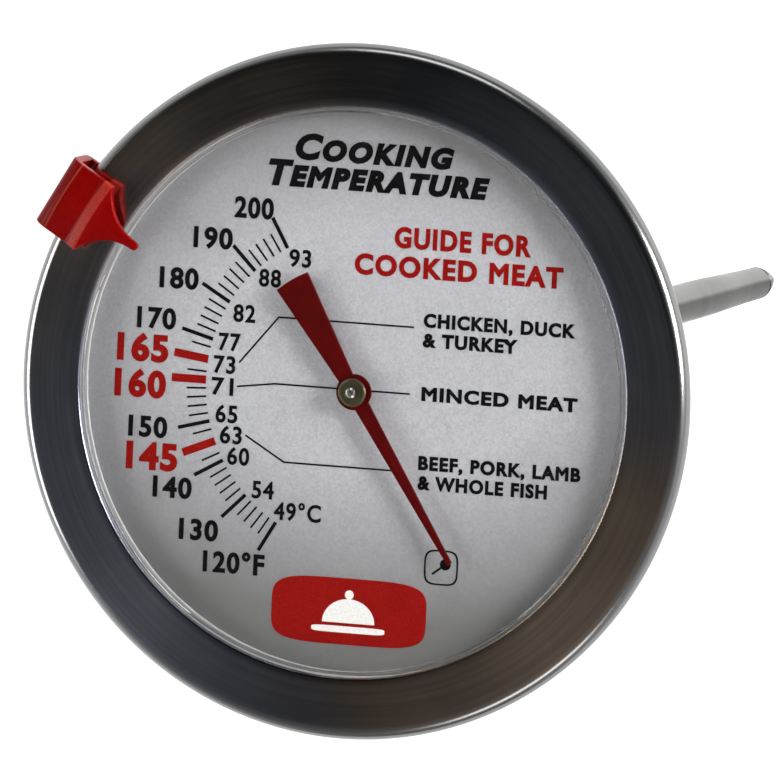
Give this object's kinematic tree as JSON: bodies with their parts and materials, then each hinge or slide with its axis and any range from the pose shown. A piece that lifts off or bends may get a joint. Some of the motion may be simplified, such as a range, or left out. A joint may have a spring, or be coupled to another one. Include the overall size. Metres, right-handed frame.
{
  "type": "dial meat thermometer",
  "caption": "Round dial thermometer with a wide flat bezel, a thin pointed bimetal stem square to its back, a turning needle and a marker clip that slides round the rim.",
  "frame": {"origin": "on the stem's axis, in the plane of the head's flat back", "axes": "+Z out of the dial towards the reader, with the stem along -Z; +Y towards twelve o'clock; +X towards three o'clock"},
  "size_m": [0.0636, 0.0636, 0.1406],
  "materials": {
    "satin_steel": "satin rolled stainless, fine circular grain",
    "case_steel": "drawn stainless, dull satin",
    "seal_rubber": "matt black",
    "crystal_clear": "clear, polished",
    "dial_silver": "fine metallic silver lacquer",
    "pointer_red": "dark red lacquer",
    "hub_nickel": "turned, nickelled",
    "spindle_steel": "bright drawn wire",
    "bushing_brass": "turned",
    "bimetal_strip": "rolled strip",
    "stem_steel": "polished stainless",
    "marker_red": "moulded, semi-gloss"
  },
  "bodies": {
    "head": {"bezel_ring": "satin_steel", "case_back": "case_steel", "rim_seal": "seal_rubber", "crystal": "crystal_clear", "crystal_gasket": "seal_rubber", "dial_plate": "dial_silver", "stake_washer": "case_steel", "upper_bushing": "bushing_brass", "middle_bushing": "bushing_brass", "lower_bushing": "bushing_brass", "bimetal_helix": "bimetal_strip", "helix_anchor": "bushing_brass", "stem_tube": "stem_steel", "stem_tip": "stem_steel", "stem_collar": "stem_steel"},
    "needle": {"pointer": "pointer_red", "pointer_hub": "hub_nickel", "spindle": "spindle_steel", "helix_collar": "bushing_brass"},
    "marker": {"marker_clip": "marker_red"}
  },
  "joints": [
    {"name": "needle_turn", "type": "hinge", "parent": "head", "child": "needle", "pos_m": [0, 0, 0.0107], "axis": [0, 0, -1], "range_deg": [-60, 200], "stiffness_Nm_per_rad": 0.001, "deforming": ["bimetal_helix"]},
    {"name": "marker_slide", "type": "hinge", "parent": "head", "child": "marker", "pos_m": [0, 0, 0.012], "axis": [0, 0, 1], "continuous": true}
  ]
}
